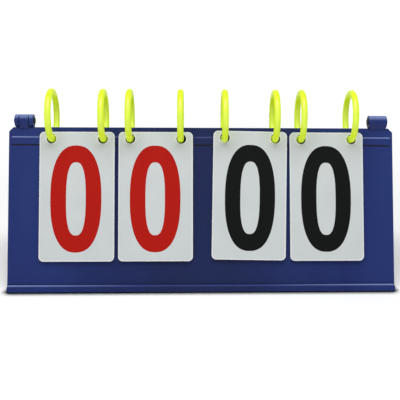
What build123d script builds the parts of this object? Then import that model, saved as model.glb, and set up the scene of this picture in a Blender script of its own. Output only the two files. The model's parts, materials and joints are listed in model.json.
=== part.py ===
from build123d import *
import os
from math import acos, atan2, cos, degrees, hypot, radians, sin

# Tabletop flip scoreboard. Two identical panels are hinged along their top edges and lean apart as a
# stand. Four stacks of numbered cards hang on eight snap rings, which pass through both panels, so that
# a card can be flipped over the top from the front panel to the rear panel.
#
# Frame: X along the hinge axis, Y from the front panel to the rear panel, Z up. The origin is on the
# table, halfway between the feet. On a panel, "down" is the distance from the hinge axis along the panel
# and "out" is the distance from the fold plane towards the panel's outer side. Lengths are millimetres.

# Stand
open_angle = 50.0
lean = open_angle / 2

# Panels: the rear plate starts lower, so that it stays out of sight behind the front one
panel_width = 379.0
front_plate_top = 6.5
rear_plate_top = 10.4
fold_gap = 0.1
plate_face = 1.4
plate_edge_radius = 0.4
plate_corner = 4.2

# Raised band that stiffens each panel at the ring holes
band_top = 15.5
band_bottom = 24.7
band_inset = 1.5
band_face = 2.17
band_corner_radius = 2.2
band_draft = 62.0

# Lip along the bottom of each panel, which is also its foot
lip_width = 379.4
lip_top = 161.0
lip_bottom = 169.0
lip_face = 4.8
lip_corner_radius = 2.8
lip_edge_radius = 1.9
lip_wall = 1.5
lip_pocket_count = 9
lip_rib = 3.0

# Hinges: each panel has one narrow knuckle, and one hooded fork for the other panel's knuckle
hinge_x = 174.5
knuckle_width = 8.5
knuckle_core_radius = 5.25
knuckle_radius = 6.2
fork_width = 18.0
fork_radius = 6.3
fork_slot_width = 10.0
hood_inner_radius = 5.5
leg_width = 15.6
leg_root_overlap = 1.45
leg_root_out = 1.9
pin_radius = 1.5
pin_clearance = 0.05
pin_head_radius = 3.1
pin_head_length = 1.15
pin_head_edge_radius = 1.0
knuckle_edge_radius = 0.5

# Rings
ring_mean_radius = 23.6
ring_width = 6.2
ring_thickness = 5.4
ring_rise = 5.4
ring_hole_radius = 4.6
ring_hole_down = 18.2
snap_angle = 318.0
snap_gap = 0.6
tongue_width = 3.4
tongue_thickness = 2.4
tongue_arc = 9.0
tongue_clearance = 0.1

# Cards: "out" is to the middle of a stack, whose innermost card just clears the raised band
stack_centres = {"red_tens": -122.6, "red_units": -46.7, "black_tens": 46.7, "black_units": 122.6}
cards_per_stack = 10
card_width = 72.7
card_height = 126.7
card_corner_radius = 4.5
card_thickness = 0.2
card_pitch = 0.235
card_hole_radius = 4.8
card_hole_spacing = 50.0
card_hole_margin = 6.7
card_hole_down = 17.7
stack_out = 3.41

# Slack of the card holes round the rings: how far each stack hangs right of and above its place, and its
# turn in degrees
stack_slack = {
    "red_tens": (0, -0.5, 0),
    "red_units": (0.7, -0.4, 0),
    "black_tens": (0.3, 0.6, -1),
    "black_units": (-0.2, -0.4, 0),
}

# Derived places
down_panel = Vector(0, -sin(radians(lean)), -cos(radians(lean)))
out_of_panel = Vector(0, -cos(radians(lean)), sin(radians(lean)))
hinge_height = lip_bottom * cos(radians(lean)) - lip_face * sin(radians(lean))
outwards = Axis((0, 0, hinge_height), out_of_panel)
foot_inner_edge = (hinge_height + fold_gap * sin(radians(lean))) / cos(radians(lean))
pocket_top = lip_top + lip_wall
pocket_bottom = foot_inner_edge - lip_wall
pocket_pitch = (panel_width - lip_rib) / lip_pocket_count
ring_x = [x + side * card_hole_spacing / 2 for x in stack_centres.values() for side in (-1, 1)]

# Sketches for a panel or a card lie on this plane: X across, Y up the panel, Z out of it
front_side = Plane(origin=(0, 0, hinge_height), x_dir=(1, 0, 0), z_dir=out_of_panel)


def knuckle_side(x):
    """Plane across the hinge axis at x, with its X down the front panel and its Y out of it."""
    return Plane(origin=(x, 0, hinge_height), x_dir=down_panel, z_dir=(-1, 0, 0))


def leg_outline(barrel_radius, first_angle, root_down):
    """Sketch lines of a leg: from the hinge axis, round the barrel from first_angle, and to the plate."""
    root_angle = atan2(leg_root_out, root_down)
    shoulder_angle = degrees(root_angle + acos(barrel_radius / hypot(root_down, leg_root_out)))
    barrel = CenterArc((0, 0), barrel_radius, shoulder_angle, first_angle - shoulder_angle)
    foot = (root_down, fold_gap)
    Line((0, 0), barrel @ 1)
    Polyline(barrel @ 0, (root_down, leg_root_out), foot, (0, fold_gap), (0, 0))


os.makedirs("parts", exist_ok=True)


# Panels: both are drawn facing the front, and the rear one is then turned round
for panel_name, plate_top, turn in (("front_panel", front_plate_top, 0), ("rear_panel", rear_plate_top, 180)):
    leg_root_down = plate_top + leg_root_overlap
    with BuildPart() as panel:
        # Plate with chamfered top corners
        with BuildSketch(front_side.offset(fold_gap)) as plate_outline:
            with Locations((0, -(plate_top + lip_bottom - lip_edge_radius) / 2)):
                Rectangle(panel_width, lip_bottom - lip_edge_radius - plate_top)
            chamfer(plate_outline.vertices().group_by(Axis.Y)[-1], plate_corner)
        extrude(amount=plate_face - fold_gap)
        fillet(panel.faces().sort_by(outwards)[-1].edges(), plate_edge_radius)

        # Raised band with sloping sides
        with BuildSketch(front_side.offset(plate_face)):
            with Locations((0, -(band_top + band_bottom) / 2)):
                RectangleRounded(panel_width - 2 * band_inset, band_bottom - band_top, band_corner_radius)
        extrude(amount=band_face - plate_face, taper=band_draft)

        # Lip
        with BuildSketch(front_side.offset(fold_gap)):
            with Locations((0, -(lip_top + lip_bottom) / 2)):
                RectangleRounded(lip_width, lip_bottom - lip_top, lip_corner_radius)
        extrude(amount=lip_face - fold_gap)
        fillet(panel.faces().sort_by(outwards)[-1].edges(), lip_edge_radius)

        # Pockets that core out the lip from behind, with ribs between them
        with BuildSketch(front_side.offset(fold_gap)):
            with Locations((0, -(pocket_top + pocket_bottom) / 2)):
                with GridLocations(pocket_pitch, 0, lip_pocket_count, 1):
                    Rectangle(pocket_pitch - lip_rib, pocket_bottom - pocket_top)
        extrude(amount=lip_face - fold_gap - lip_wall, mode=Mode.SUBTRACT)

        # Foot: the lip is cut level with the table
        split(bisect_by=Plane.XY, keep=Keep.TOP)

        # Knuckle: its thick side ends in a step, which is the stop for the other panel's hood
        with BuildSketch(knuckle_side(-hinge_x)):
            Circle(knuckle_core_radius)
            with BuildLine():
                leg_outline(knuckle_radius, 180 - open_angle, leg_root_down)
            make_face()
        extrude(amount=knuckle_width / 2, both=True)

        # Fork: two ears, a hood between them, and a leg down to the plate
        with BuildSketch(knuckle_side(hinge_x)):
            Circle(fork_radius)
        extrude(amount=fork_width / 2, both=True)
        ear_edges = panel.edges().filter_by(GeomType.CIRCLE).filter_by(
            lambda edge: abs(edge.radius - fork_radius) < 0.001
        )
        fillet(ear_edges, knuckle_edge_radius)
        with BuildSketch(knuckle_side(hinge_x)):
            with BuildLine():
                leg_outline(fork_radius, 90, leg_root_down)
            make_face()
        extrude(amount=leg_width / 2, both=True)
        with BuildSketch(knuckle_side(hinge_x)):
            Circle(hood_inner_radius)
            with Locations((0, fold_gap)):
                Rectangle(2 * fork_radius, 2 * fork_radius, align=(Align.CENTER, Align.MAX))
        extrude(amount=fork_slot_width / 2, both=True, mode=Mode.SUBTRACT)

        # Bore for the hinge pins
        with BuildSketch(knuckle_side(0)):
            Circle(pin_radius + pin_clearance)
        extrude(amount=panel_width / 2, both=True, mode=Mode.SUBTRACT)

        # Ring holes
        with BuildSketch(front_side):
            with Locations(*[(x, -ring_hole_down) for x in ring_x]):
                Circle(ring_hole_radius)
        extrude(amount=lip_face, mode=Mode.SUBTRACT)
    placed_panel = panel.part.rotate(Axis.Z, turn)
    placed_panel.label = panel_name
    export_step(placed_panel, f"parts/{panel_name}.step")


# Hinge pins: a shaft with a domed head outside each end of the fork
for pin_name, pin_x in (("left_hinge_pin", -hinge_x), ("right_hinge_pin", hinge_x)):
    with BuildPart() as hinge_pin:
        with BuildSketch(knuckle_side(pin_x)):
            Circle(pin_radius)
        extrude(amount=fork_width / 2 + pin_clearance, both=True)
        for side in (-1, 1):
            head_start = pin_x + side * (fork_width / 2 + pin_clearance)
            with BuildSketch(Plane(origin=(head_start, 0, hinge_height), z_dir=(side, 0, 0))):
                Circle(pin_head_radius)
            extrude(amount=pin_head_length)
        rims = hinge_pin.faces().sort_by(Axis.X)
        fillet(rims[0].edges() + rims[-1].edges(), pin_head_edge_radius)
    hinge_pin.part.label = pin_name
    export_step(hinge_pin.part, f"parts/{pin_name}.step")


def ring_section(x, angle):
    """Plane across a ring's rim at an angle round the ring, with its X along the hinge and its Y outwards."""
    turn = radians(angle)
    rim = (x, ring_mean_radius * cos(turn), hinge_height + ring_rise + ring_mean_radius * sin(turn))
    return Plane(origin=rim, x_dir=(1, 0, 0), z_dir=(0, -sin(turn), cos(turn)))


# Rings: an oval rod, bent round until its tongue snaps into its socket
socket_arc = tongue_arc + snap_gap
for index, x in enumerate(ring_x):
    ring_name = f"{list(stack_centres)[index // 2]}_{('left', 'right')[index % 2]}_ring"
    turning_axis = Axis((x, 0, hinge_height + ring_rise), (1, 0, 0))
    with BuildPart() as ring:
        with BuildSketch(ring_section(x, snap_angle + snap_gap / 2)):
            Ellipse(ring_width / 2, ring_thickness / 2)
        revolve(axis=turning_axis, revolution_arc=360 - snap_gap)

        # Socket in the first end
        with BuildSketch(ring_section(x, snap_angle)):
            SlotOverall(tongue_width + 2 * tongue_clearance, tongue_thickness + 2 * tongue_clearance)
        revolve(axis=turning_axis, revolution_arc=socket_arc, mode=Mode.SUBTRACT)

        # Tongue on the last end
        with BuildSketch(ring_section(x, snap_angle - snap_gap)):
            SlotOverall(tongue_width, tongue_thickness)
        revolve(axis=turning_axis, revolution_arc=tongue_arc)
    ring.part.label = ring_name
    export_step(ring.part, f"parts/{ring_name}.step")


# Cards: number 0 is outermost on the front, so it is the first to be flipped over
card_middle_below_holes = card_height / 2 - card_hole_margin
for stack_name, stack_x in stack_centres.items():
    shift, lift, stack_turn = stack_slack[stack_name]
    hanging = Location((stack_x + shift, lift - card_hole_down, 0), (0, 0, stack_turn))
    for number in range(cards_per_stack):
        card_out = stack_out + ((cards_per_stack - 1) / 2 - number) * card_pitch
        with BuildPart() as card:
            with BuildSketch(front_side.offset(card_out)):
                with Locations(hanging):
                    with Locations((0, -card_middle_below_holes)):
                        RectangleRounded(card_width, card_height, card_corner_radius)
                    with GridLocations(card_hole_spacing, 0, 2, 1):
                        Circle(card_hole_radius, mode=Mode.SUBTRACT)
            extrude(amount=card_thickness / 2, both=True)
        card.part.label = f"{stack_name}_card_{number}"
        export_step(card.part, f"parts/{card.part.label}.step")
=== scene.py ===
"""Studio scene of a tabletop flip scoreboard: materials for its CAD parts, and digits on its cards."""

import json
import math

import bmesh
import bpy
from mathutils import Matrix, Vector
from mathutils.geometry import delaunay_2d_cdt


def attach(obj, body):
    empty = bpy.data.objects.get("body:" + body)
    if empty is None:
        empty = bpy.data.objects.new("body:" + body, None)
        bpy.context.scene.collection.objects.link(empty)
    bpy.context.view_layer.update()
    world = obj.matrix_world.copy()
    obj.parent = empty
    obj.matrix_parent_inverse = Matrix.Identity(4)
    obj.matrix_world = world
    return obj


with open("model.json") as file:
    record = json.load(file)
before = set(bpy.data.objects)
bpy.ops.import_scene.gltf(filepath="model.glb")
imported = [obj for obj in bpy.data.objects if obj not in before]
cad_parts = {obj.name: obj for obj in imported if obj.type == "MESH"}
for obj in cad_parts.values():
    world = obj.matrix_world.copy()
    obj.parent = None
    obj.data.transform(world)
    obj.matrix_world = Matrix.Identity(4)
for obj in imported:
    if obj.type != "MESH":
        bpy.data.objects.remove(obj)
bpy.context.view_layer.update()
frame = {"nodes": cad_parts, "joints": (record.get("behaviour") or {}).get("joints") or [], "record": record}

MM = 0.001
STACKS = ("red_tens", "red_units", "black_tens", "black_units")
CARDS_PER_STACK = 10
HINGE_HEIGHT = next(joint["pos_m"][2] for joint in frame["joints"] if joint["name"] == "back_panel_fold")


# ---------------------------------------------------------------------------------------------------
# Materials
# ---------------------------------------------------------------------------------------------------

# Numbers of the mix node's sockets for colours, which share their names with its other sockets
MIX_FIRST = 6
MIX_SECOND = 7
MIX_RESULT = 2

# Rays that the edge and cavity nodes send at each point
SHELTER_RAYS = 6

# Values of a noise that a mottle takes as nothing and as full
MOTTLE_NONE = 0.3
MOTTLE_FULL = 0.7


def linear(level):
    """Linear value of an 8-bit sRGB level, by the sRGB curve."""
    value = level / 255
    return ((value + 0.055) / 1.055) ** 2.4 if level > 10 else value / 12.92


def srgb(red, green, blue):
    """Linear colour of an 8-bit sRGB one, with alpha."""
    return (linear(red), linear(green), linear(blue), 1)


class Surface:
    """A node material with a Principled shader, and short calls for the nodes that feed it."""

    def __init__(self, name):
        self.material = bpy.data.materials.new(name)
        self.material.use_nodes = True
        self.nodes = self.material.node_tree.nodes
        self.links = self.material.node_tree.links
        self.shader = self.nodes["Principled BSDF"]
        coordinates = self.nodes.new("ShaderNodeTexCoord")
        self.place = coordinates.outputs["Object"]
        self.normal = coordinates.outputs["Normal"]

    def set(self, **values):
        """Gives shader inputs fixed values. An input's name has _ for each space."""
        for name, value in values.items():
            self.shader.inputs[name.replace("_", " ")].default_value = value

    def link(self, output, name):
        """Feeds a shader input from a node's output."""
        self.links.new(output, self.shader.inputs[name])

    def noise(self, feature, detail=2.0, stretch=(1, 1, 1)):
        """Noise whose blobs are about feature metres across, from 0 to 1."""
        mapping = self.nodes.new("ShaderNodeMapping")
        mapping.inputs["Scale"].default_value = stretch
        self.links.new(self.place, mapping.inputs["Vector"])
        noise = self.nodes.new("ShaderNodeTexNoise")
        noise.inputs["Scale"].default_value = 1 / feature
        noise.inputs["Detail"].default_value = detail
        self.links.new(mapping.outputs["Vector"], noise.inputs["Vector"])
        return noise.outputs["Fac"]

    def spread(self, value, low, high, start=0.0, end=1.0):
        """value from start to end, spread over low to high."""
        spread = self.nodes.new("ShaderNodeMapRange")
        spread.inputs["From Min"].default_value = start
        spread.inputs["From Max"].default_value = end
        spread.inputs["To Min"].default_value = low
        spread.inputs["To Max"].default_value = high
        self.links.new(value, spread.inputs["Value"])
        return spread.outputs["Result"]

    def mottle(self, feature, detail=2.0, stretch=(1, 1, 1), low=0.0, high=1.0):
        """Noise of strong contrast, from low to high."""
        return self.spread(self.noise(feature, detail, stretch), low, high, MOTTLE_NONE, MOTTLE_FULL)

    def mix(self, factor, first, second):
        """Colour from first to second by factor. A colour is a tuple or an output."""
        mix = self.nodes.new("ShaderNodeMix")
        mix.data_type = "RGBA"
        self.links.new(factor, mix.inputs["Factor"])
        for socket, colour in ((MIX_FIRST, first), (MIX_SECOND, second)):
            if isinstance(colour, tuple):
                mix.inputs[socket].default_value = colour
            else:
                self.links.new(colour, mix.inputs[socket])
        return mix.outputs[MIX_RESULT]

    def product(self, first, second):
        """The first value times the second."""
        multiply = self.nodes.new("ShaderNodeMath")
        multiply.operation = "MULTIPLY"
        self.links.new(first, multiply.inputs[0])
        self.links.new(second, multiply.inputs[1])
        return multiply.outputs["Value"]

    def component(self, vector, axis):
        """The share of a vector along "X", "Y" or "Z"."""
        axes = self.nodes.new("ShaderNodeSeparateXYZ")
        self.links.new(vector, axes.inputs["Vector"])
        return axes.outputs[axis]

    def up_facing(self, none, full):
        """From 0 to 1 as the upward share of the part's own unit normal goes from none to full."""
        return self.spread(self.component(self.normal, "Z"), 0.0, 1.0, none, full)

    def along(self, axis, near, far):
        """From 0 to 1 as the distance from the origin along an axis, either way, goes from near to far."""
        distance = self.nodes.new("ShaderNodeMath")
        distance.operation = "ABSOLUTE"
        self.links.new(self.component(self.place, axis), distance.inputs[0])
        return self.spread(distance.outputs["Value"], 0.0, 1.0, near, far)

    def rounded_normal(self, radius):
        """The normal with edges rounded by radius."""
        bevel = self.nodes.new("ShaderNodeBevel")
        bevel.samples = SHELTER_RAYS
        bevel.inputs["Radius"].default_value = radius
        return bevel.outputs["Normal"]

    def edge_mask(self, radius, full=0.75):
        """1 at edges, where rounding turns the normal to a cosine of full, and 0 from radius on."""
        flat = 0.999
        geometry = self.nodes.new("ShaderNodeNewGeometry")
        cosine = self.nodes.new("ShaderNodeVectorMath")
        cosine.operation = "DOT_PRODUCT"
        self.links.new(self.rounded_normal(radius), cosine.inputs[0])
        self.links.new(geometry.outputs["Normal"], cosine.inputs[1])
        return self.spread(cosine.outputs["Value"], 1.0, 0.0, full, flat)

    def facing(self, limit):
        """1 where the surface faces the viewer, falling to 0 where its turn away reaches limit."""
        weight = self.nodes.new("ShaderNodeLayerWeight")
        return self.spread(weight.outputs["Facing"], 1.0, 0.0, 0.0, limit)

    def cavity(self, reach, deep=0.45, clear=0.95):
        """1 where a share of deep or less of the sky is open within reach, falling to 0 at clear."""
        shelter = self.nodes.new("ShaderNodeAmbientOcclusion")
        shelter.samples = SHELTER_RAYS
        shelter.inputs["Distance"].default_value = reach
        return self.spread(shelter.outputs["AO"], 1.0, 0.0, deep, clear)

    def bump(self, height, depth, normal=None):
        """Relief of depth metres, over the given normal or the surface's own."""
        bump = self.nodes.new("ShaderNodeBump")
        bump.inputs["Distance"].default_value = depth
        self.links.new(height, bump.inputs["Height"])
        if normal is not None:
            self.links.new(normal, bump.inputs["Normal"])
        self.link(bump.outputs["Normal"], "Normal")


def panel_plastic():
    """Navy moulded plastic: fine grain, flow marks, painted shade in the middle, under the raised band and
    in the corners, and painted highlights on edges and upward faces, with some wear on the edges.
    """
    surface = Surface("panel_plastic")

    # The dye, swirled by the flow of the melt along the panel; and painted shade, darker in the middle
    flow = surface.mottle(60 * MM, 3.0, (1, 0.25, 0.25))
    swirled = surface.mix(flow, srgb(21, 37, 98), srgb(30, 49, 113))
    to_the_ends = surface.spread(surface.along("X", 30 * MM, 160 * MM), 0.25, 1)
    navy_shaded_middle = surface.mix(to_the_ends, srgb(17, 29, 70), swirled)

    # Paler sharp edges, partly wear and partly painted highlight; and a painted highlight on what faces up,
    # brighter towards the ends
    worn_lit_edges = surface.mix(surface.spread(surface.edge_mask(0.5 * MM), 0, 0.3), navy_shaded_middle, srgb(84, 102, 168))
    highlight_colour = surface.mix(surface.along("X", 60 * MM, 190 * MM), srgb(30, 46, 122), srgb(124, 142, 196))
    highlighted = surface.mix(surface.spread(surface.up_facing(0.6, 0.92), 0, 0.85), worn_lit_edges, highlight_colour)

    # Shade: on the slope under the raised band, which faces a little down, and in the corners
    slope = surface.product(surface.up_facing(0.12, -0.04), surface.up_facing(-0.38, -0.24))
    below_hinges = surface.along("Z", HINGE_HEIGHT - 10 * MM, HINGE_HEIGHT - 12 * MM)
    slope_shade = surface.spread(surface.product(slope, below_hinges), 0, 0.92)
    sheltered = surface.mix(slope_shade, highlighted, srgb(5, 7, 20))
    corners = surface.spread(surface.cavity(1.5 * MM), 0, 0.75)
    surface.link(surface.mix(corners, sheltered, srgb(8, 12, 34)), "Base Color")

    surface.set(Specular_IOR_Level=0.26)
    surface.link(surface.mottle(4 * MM, low=0.38, high=0.52), "Roughness")
    surface.bump(surface.noise(0.7 * MM, 3.0), 0.04 * MM, surface.rounded_normal(0.3 * MM))
    return surface.material


def pin_steel():
    """Blackened steel with faint turning marks."""
    surface = Surface("pin_steel")
    surface.set(Metallic=0.6)
    surface.link(surface.mix(surface.noise(1 * MM), srgb(18, 20, 30), srgb(36, 38, 48)), "Base Color")
    surface.link(surface.spread(surface.noise(0.8 * MM), 0.3, 0.5), "Roughness")
    surface.bump(surface.noise(0.4 * MM), 0.02 * MM)
    return surface.material


def ring_plastic():
    """Fluorescent plastic that lets light in, with a painted glow and a painted highlight that makes the
    rod's middle paler where it faces the viewer.
    """
    surface = Surface("ring_plastic")
    dye = surface.mix(surface.mottle(6 * MM), srgb(204, 230, 2), srgb(216, 240, 20))
    # Painted highlight: paler where the rod faces the viewer
    facing_highlight = surface.spread(surface.facing(0.3), 0, 0.5)
    colour = surface.mix(facing_highlight, dye, srgb(218, 236, 112))
    surface.link(colour, "Base Color")
    surface.link(colour, "Emission Color")
    # Painted glow: the ring gives off a little light of its own colour
    surface.set(Emission_Strength=0.24, Specular_IOR_Level=0.6)
    surface.set(Subsurface_Weight=0.3, Subsurface_Scale=2 * MM)
    surface.link(surface.spread(surface.noise(2 * MM), 0.3, 0.4), "Roughness")
    surface.bump(surface.noise(0.9 * MM), 0.03 * MM)
    return surface.material


def card_sheet():
    """Pale satin plastic sheet, with a painted highlight that whitens it along its edges."""
    surface = Surface("card_sheet")
    sheet = surface.mix(surface.mottle(30 * MM, 3.0), srgb(200, 205, 206), srgb(205, 210, 210))
    # Painted highlight: near-white along the card's edges
    surface.link(surface.mix(surface.edge_mask(1.8 * MM, 0.9), sheet, srgb(252, 253, 252)), "Base Color")
    surface.set(Specular_IOR_Level=0.35)
    surface.link(surface.spread(surface.noise(3 * MM), 0.4, 0.52), "Roughness")
    surface.bump(surface.noise(0.6 * MM), 0.01 * MM)
    return surface.material


def print_ink(name, dark, light):
    """Screen-printed ink: even, with a faint mottle and a soft sheen."""
    surface = Surface(name)
    surface.link(surface.mix(surface.mottle(2 * MM, 3.0), dark, light), "Base Color")
    surface.set(Specular_IOR_Level=0.14)
    surface.link(surface.spread(surface.noise(1 * MM), 0.42, 0.55), "Roughness")
    surface.bump(surface.noise(0.5 * MM), 0.008 * MM)
    return surface.material


MATERIALS = {
    "panel_plastic": panel_plastic(),
    "pin_steel": pin_steel(),
    "ring_plastic": ring_plastic(),
    "card_sheet": card_sheet(),
    "red_print": print_ink("red_print", srgb(170, 16, 6), srgb(180, 22, 9)),
    "black_print": print_ink("black_print", srgb(6, 11, 9), srgb(12, 17, 14)),
}

for part in frame["record"]["subparts"]:
    node = frame["nodes"][part["node"]]
    node.data.materials.clear()
    node.data.materials.append(MATERIALS[part["material_slot"]])


# ---------------------------------------------------------------------------------------------------
# Digit outlines, in millimetres from the digit's centre
# ---------------------------------------------------------------------------------------------------

HALF_WIDTH = 24.7
HALF_HEIGHT = 52.25

# A stroke's width, and its height where a curve runs level
STROKE = 15.2
STROKE_ACROSS = 16.6

# Points in a quarter of a curve, and the fewest in any curve
CURVE_STEPS = 32
FEWEST_STEPS = 4

# Powers of the superellipses on a curve's outer side and, squarer by this much, on its inner side
OUTER_POWER = 2.4
INNER_SQUARER = 0.25

# Height of the stroke that the two bowls of 3 and 8 share, and the half heights of those bowls
WAIST = 3.0
LOWER_BOWL = (HALF_HEIGHT + WAIST + STROKE / 2) / 2
UPPER_BOWL = (HALF_HEIGHT - WAIST + STROKE / 2) / 2


def superellipse(centre, half_width, half_height, power, angle):
    """Point at an angle in degrees on a superellipse, whose power 2 is an ellipse and 4 is squarish."""
    c, s = math.cos(math.radians(angle)), math.sin(math.radians(angle))
    x = math.copysign(abs(c) ** (2 / power), c) * half_width
    y = math.copysign(abs(s) ** (2 / power), s) * half_height
    return (centre[0] + x, centre[1] + y)


def bowl(centre, half_width, half_height, start, end):
    """Curved stroke of a digit, between two superellipses, from the start angle to the end angle."""
    steps = max(FEWEST_STEPS, round(abs(end - start) / 90 * CURVE_STEPS))
    angles = [start + (end - start) * i / steps for i in range(steps + 1)]
    inner_size = (half_width - STROKE, half_height - STROKE_ACROSS)
    outer = [superellipse(centre, half_width, half_height, OUTER_POWER, a) for a in angles]
    inner = [superellipse(centre, *inner_size, OUTER_POWER + INNER_SQUARER, a) for a in angles]
    return outer + inner[::-1]


def loop(centre, half_width, half_height):
    """Closed curve of a digit, as two halves."""
    return [bowl(centre, half_width, half_height, start, start + 180) for start in (0, 180)]


def bar(left, bottom, right, top):
    """Outline of a rectangle."""
    return [(left, bottom), (right, bottom), (right, top), (left, top)]


# Each digit function returns its strokes as closed outlines, which may overlap.


def digit_0():
    return loop((0, 0), HALF_WIDTH, HALF_HEIGHT)


def digit_1():
    """A stem right of the middle, with a slanting flag."""
    right = 9.0
    left = right - STROKE
    tip = -HALF_WIDTH + 5
    flag = [(left, HALF_HEIGHT), (tip, HALF_HEIGHT - 20), (tip, HALF_HEIGHT - 35), (left, HALF_HEIGHT - 26)]
    return [bar(left, -HALF_HEIGHT, right, HALF_HEIGHT), flag]


def digit_2():
    """A hook that runs down in a diagonal to a bar."""
    hook = 0.56 * HALF_HEIGHT
    hook_middle = HALF_HEIGHT - hook
    bar_top = -HALF_HEIGHT + STROKE
    diagonal = [
        (HALF_WIDTH, hook_middle),
        (HALF_WIDTH - 3.5, 4),
        (-HALF_WIDTH + STROKE + 6, bar_top),
        (-HALF_WIDTH, bar_top),
        (-HALF_WIDTH, bar_top + 3),
        (HALF_WIDTH - STROKE - 3.5, 8),
        (HALF_WIDTH - STROKE, hook_middle),
    ]
    return [
        bowl((0, hook_middle), HALF_WIDTH, hook, 0, 186),
        diagonal,
        bar(-HALF_WIDTH, -HALF_HEIGHT, HALF_WIDTH, bar_top),
    ]


def digit_3():
    """Two open bowls, with a short bar where they meet."""
    return [
        bowl((0, HALF_HEIGHT - UPPER_BOWL), HALF_WIDTH - 1.5, UPPER_BOWL, -90, 172),
        bowl((0, LOWER_BOWL - HALF_HEIGHT), HALF_WIDTH, LOWER_BOWL, -172, 90),
        bar(-8, WAIST - STROKE / 2, 2, WAIST + STROKE / 2),
    ]


def digit_4():
    """A stem right of the middle, a crossbar, and a diagonal between their ends."""
    stem_left = 6 - STROKE / 2
    bar_left = -HALF_WIDTH - 1
    bar_bottom = -HALF_HEIGHT + 20
    bar_top = bar_bottom + STROKE
    diagonal = [
        (stem_left, HALF_HEIGHT),
        (stem_left, HALF_HEIGHT - 24),
        (-HALF_WIDTH + STROKE - 2, bar_top),
        (bar_left, bar_top),
        (bar_left, bar_bottom + 14),
    ]
    return [
        bar(stem_left, -HALF_HEIGHT, stem_left + STROKE, HALF_HEIGHT),
        bar(bar_left, bar_bottom, HALF_WIDTH + 2, bar_top),
        diagonal,
    ]


def digit_5():
    """A bar, a short stem under its left end, and a belly."""
    belly = 0.63 * HALF_HEIGHT
    left = -HALF_WIDTH + 5
    inside = -HALF_WIDTH + STROKE
    return [
        bar(left, HALF_HEIGHT - STROKE, HALF_WIDTH - 2, HALF_HEIGHT),
        [(left, HALF_HEIGHT), (inside + 4, HALF_HEIGHT), (inside, 10), (inside, 0), (-HALF_WIDTH + 1.5, 0)],
        bowl((0, belly - HALF_HEIGHT), HALF_WIDTH, belly, -172, 145),
    ]


def digit_6():
    """A loop at the foot, whose left side runs up into a hook."""
    foot = 0.62 * HALF_HEIGHT
    return loop((0, foot - HALF_HEIGHT), HALF_WIDTH, foot) + [
        bowl((0, 0), HALF_WIDTH, HALF_HEIGHT, 36, 180),
        bar(-HALF_WIDTH, foot - HALF_HEIGHT, -HALF_WIDTH + STROKE, 0),
    ]


def digit_7():
    """A bar, and a bent stem from its right end down to the left."""
    foot_left = -13
    bar_bottom = HALF_HEIGHT - STROKE
    stem = [
        (HALF_WIDTH, bar_bottom),
        (HALF_WIDTH - STROKE - 3, bar_bottom),
        (-4, 14),
        (foot_left, -HALF_HEIGHT),
        (foot_left + STROKE, -HALF_HEIGHT),
        (11, 12),
    ]
    return [bar(-HALF_WIDTH, bar_bottom, HALF_WIDTH, HALF_HEIGHT), stem]


def digit_8():
    upper = loop((0, HALF_HEIGHT - UPPER_BOWL), HALF_WIDTH - 1.8, UPPER_BOWL)
    return upper + loop((0, LOWER_BOWL - HALF_HEIGHT), HALF_WIDTH, LOWER_BOWL)


def digit_9():
    """A 6 turned upside down."""
    return [[(-x, -y) for x, y in stroke] for stroke in digit_6()]


DIGITS = (digit_0, digit_1, digit_2, digit_3, digit_4, digit_5, digit_6, digit_7, digit_8, digit_9)


# ---------------------------------------------------------------------------------------------------
# Digit meshes
# ---------------------------------------------------------------------------------------------------

# How far a digit goes into the card and stands proud of it, and the size below which points are one
PRINT_SINK = 0.03 * MM
PRINT_RISE = 0.012 * MM
SAME_POINT = 1e-7


def runs_clockwise(outline):
    """Whether a closed outline turns clockwise, from the sign of its area."""
    return sum(x0 * y1 - x1 * y0 for (x0, y0), (x1, y1) in zip(outline, outline[1:] + outline[:1])) < 0


def digit_mesh(name, strokes):
    """Thin solid of a digit: the union of its strokes in XY, from just inside the card to just above it."""
    points, faces = [], []
    for stroke in strokes:
        if runs_clockwise(stroke):
            stroke = stroke[::-1]
        faces.append(list(range(len(points), len(points) + len(stroke))))
        points += [Vector((x * MM, y * MM)) for x, y in stroke]
    vertices, _, triangles, _, _, origins = delaunay_2d_cdt(points, [], faces, 0, SAME_POINT)
    mesh = bmesh.new()
    corners = [mesh.verts.new((v.x, v.y, -PRINT_SINK)) for v in vertices]
    for triangle, origin in zip(triangles, origins):
        if origin:
            mesh.faces.new([corners[i] for i in triangle])
    bmesh.ops.delete(mesh, geom=[v for v in mesh.verts if not v.link_faces], context="VERTS")
    bmesh.ops.recalc_face_normals(mesh, faces=mesh.faces)
    grown = bmesh.ops.extrude_face_region(mesh, geom=mesh.faces[:])
    top = [item for item in grown["geom"] if isinstance(item, bmesh.types.BMVert)]
    bmesh.ops.translate(mesh, verts=top, vec=(0, 0, PRINT_SINK + PRINT_RISE))
    bmesh.ops.recalc_face_normals(mesh, faces=mesh.faces)
    data = bpy.data.meshes.new(name)
    mesh.to_mesh(data)
    mesh.free()
    return data


# ---------------------------------------------------------------------------------------------------
# Digits on the cards
# ---------------------------------------------------------------------------------------------------

# How far a digit stands below the card's centre, and to the right of it in each stack
DIGIT_DROP = 2.35 * MM
PRINT_SHIFT = {
    "red_tens": -0.9 * MM,
    "red_units": -0.5 * MM,
    "black_tens": 0.5 * MM,
    "black_units": -0.7 * MM,
}


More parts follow.
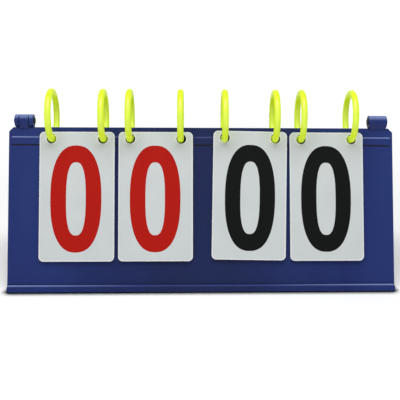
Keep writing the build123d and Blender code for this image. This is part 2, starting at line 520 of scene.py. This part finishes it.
def card_frame(node):
    """Centre of a card, its directions across, up and out of the front, and half its thickness."""
    faces = node.data.polygons
    front = max((face for face in faces if face.normal.y < -0.5), key=lambda face: face.area)
    right_edge = max((face for face in faces if face.normal.x > 0.9), key=lambda face: face.area)
    out = front.normal.normalized()
    across = (right_edge.normal - out * right_edge.normal.dot(out)).normalized()
    up = out.cross(across)
    centre = Vector()
    for direction in (across, up, out):
        reach = [direction.dot(vertex.co) for vertex in node.data.vertices]
        centre += direction * (min(reach) + max(reach)) / 2
    half_thickness = (max(reach) - min(reach)) / 2
    return centre, across, up, out, half_thickness


def add_digit(name, mesh, card, place):
    digit = bpy.data.objects.new(name, mesh)
    bpy.context.scene.collection.objects.link(digit)
    digit.matrix_world = place
    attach(digit, card)


def print_card(stack, number, meshes):
    """The card's own number on its front, and the next number on its back."""
    card = f"{stack}_card_{number}"
    centre, across, up, out, half_thickness = card_frame(frame["nodes"][card])
    middle = centre - up * DIGIT_DROP
    next_number = (number + 1) % CARDS_PER_STACK
    for side, value, right, outward in (
        ("front", number, across, out),
        ("back", next_number, -across, -out),
    ):
        place = Matrix((right, up, outward)).transposed().to_4x4()
        place.translation = middle + right * PRINT_SHIFT[stack] + outward * half_thickness
        add_digit(f"{card}_{side}_digit", meshes[value], card, place)


for colour in ("red", "black"):
    ink = f"{colour}_print"
    meshes = [digit_mesh(f"{colour}_{value}", draw()) for value, draw in enumerate(DIGITS)]
    for mesh in meshes:
        mesh.materials.append(MATERIALS[ink])
    for stack in STACKS:
        if stack.startswith(colour):
            for number in range(CARDS_PER_STACK):
                print_card(stack, number, meshes)


# ---------------------------------------------------------------------------------------------------
# Floor, light and camera, in metres and degrees
# ---------------------------------------------------------------------------------------------------

WHITE = (1, 1, 1, 1)

FLOOR_HALF_SIDE = 6.0
FLOOR_CLOUD = 0.5

# Strength of the floor's glow as the camera sees it, and how far from the middle it starts and is full
FLOOR_GLOW_NEAR = 0.05
FLOOR_GLOW_FAR = 0.75
GLOW_STARTS = 0.3
GLOW_FULL = 1.2

# A painted contact shadow: the dark line where the board touches the floor
CONTACT_SHADOW_REACH = 6.5 * MM
CONTACT_SHADOW_DEEP = 0.81
CONTACT_SHADOW_CLEAR = 0.9

# Strength of the surrounding, as light and as the camera sees it
WORLD_LIGHT = 0.42
WORLD_SEEN = 1.0

# Name, place, width, height and power of each soft light, and the point that they aim at
LIGHTS = (
    ("overhead", (0.0, -0.3, 1.3), 1.2, 0.6, 12.0),
    ("left_fill", (-1.1, -0.6, 1.2), 0.8, 0.8, 2.5),
)
LIGHT_TARGET = (0, 0, 0.08)

# Place and turn of the camera, its sensor and focal length in millimetres, and its shift in sensor widths
CAMERA_PLACE = (-0.01144, -0.67886, 0.33831)
CAMERA_YAW = -2.37
CAMERA_PITCH = -22.109
CAMERA_ROLL = 0.879
SENSOR_WIDTH = 36.0
FOCAL_LENGTH = 63.4266
LENS_SHIFT = (-0.045175, 0.010925)


def add_floor():
    """A large pale floor with a painted contact shadow where the feet touch it, seen to glow white far from
    them.
    """
    surface = Surface("floor")
    shade = surface.mix(surface.noise(FLOOR_CLOUD), (0.93, 0.93, 0.935, 1), (0.95, 0.95, 0.955, 1))
    # Painted shadow: dark where little of the sky is open near the board, and without the glow there
    contact_shadow = surface.cavity(CONTACT_SHADOW_REACH, CONTACT_SHADOW_DEEP, CONTACT_SHADOW_CLEAR)
    surface.link(surface.mix(contact_shadow, shade, srgb(28, 34, 42)), "Base Color")
    distance = surface.nodes.new("ShaderNodeVectorMath")
    distance.operation = "LENGTH"
    surface.links.new(surface.place, distance.inputs[0])
    glow = surface.spread(distance.outputs["Value"], FLOOR_GLOW_NEAR, FLOOR_GLOW_FAR, GLOW_STARTS, GLOW_FULL)
    seen = surface.nodes.new("ShaderNodeLightPath").outputs["Is Camera Ray"]
    outside_contact_shadow = surface.spread(contact_shadow, 1.0, 0.0)
    surface.link(surface.product(surface.product(glow, seen), outside_contact_shadow), "Emission Strength")
    surface.set(Roughness=0.7, Specular_IOR_Level=0.1, Emission_Color=WHITE)
    mesh = bpy.data.meshes.new("floor")
    corners = bar(-FLOOR_HALF_SIDE, -FLOOR_HALF_SIDE, FLOOR_HALF_SIDE, FLOOR_HALF_SIDE)
    mesh.from_pydata([(x, y, 0) for x, y in corners], [], [(0, 1, 2, 3)])
    mesh.materials.append(surface.material)
    floor = bpy.data.objects.new("floor", mesh)
    bpy.context.scene.collection.objects.link(floor)


def add_world():
    """A white surrounding that lights the object softly."""
    world = bpy.data.worlds.new("studio")
    world.use_nodes = True
    nodes, links = world.node_tree.nodes, world.node_tree.links
    background = nodes["Background"]
    background.inputs["Color"].default_value = WHITE
    strength = nodes.new("ShaderNodeMapRange")
    strength.inputs["To Min"].default_value = WORLD_LIGHT
    strength.inputs["To Max"].default_value = WORLD_SEEN
    links.new(nodes.new("ShaderNodeLightPath").outputs["Is Camera Ray"], strength.inputs["Value"])
    links.new(strength.outputs["Result"], background.inputs["Strength"])
    bpy.context.scene.world = world


def add_light(name, place, width, height, power):
    """A soft rectangular light at place, aimed at the board."""
    data = bpy.data.lights.new(name, "AREA")
    data.shape = "RECTANGLE"
    data.size = width
    data.size_y = height
    data.energy = power
    light = bpy.data.objects.new(name, data)
    light.location = place
    light.rotation_euler = (Vector(LIGHT_TARGET) - Vector(place)).to_track_quat("-Z", "Y").to_euler()
    bpy.context.scene.collection.objects.link(light)


def add_camera():
    """The camera: turned by yaw to the left, pitch up, and roll clockwise as the picture sees it."""
    data = bpy.data.cameras.new("camera")
    data.sensor_width = SENSOR_WIDTH
    data.lens = FOCAL_LENGTH
    data.shift_x, data.shift_y = LENS_SHIFT
    camera = bpy.data.objects.new("camera", data)
    yaw = Matrix.Rotation(math.radians(CAMERA_YAW), 4, "Z")
    pitch = Matrix.Rotation(math.radians(90 + CAMERA_PITCH), 4, "X")
    roll = Matrix.Rotation(math.radians(CAMERA_ROLL), 4, "Z")
    camera.matrix_world = Matrix.Translation(CAMERA_PLACE) @ yaw @ pitch @ roll
    bpy.context.scene.collection.objects.link(camera)
    bpy.context.scene.camera = camera


add_floor()
add_world()
for light in LIGHTS:
    add_light(*light)
add_camera()
bpy.context.scene.view_settings.view_transform = "Standard"
bpy.context.scene.view_settings.look = "None"
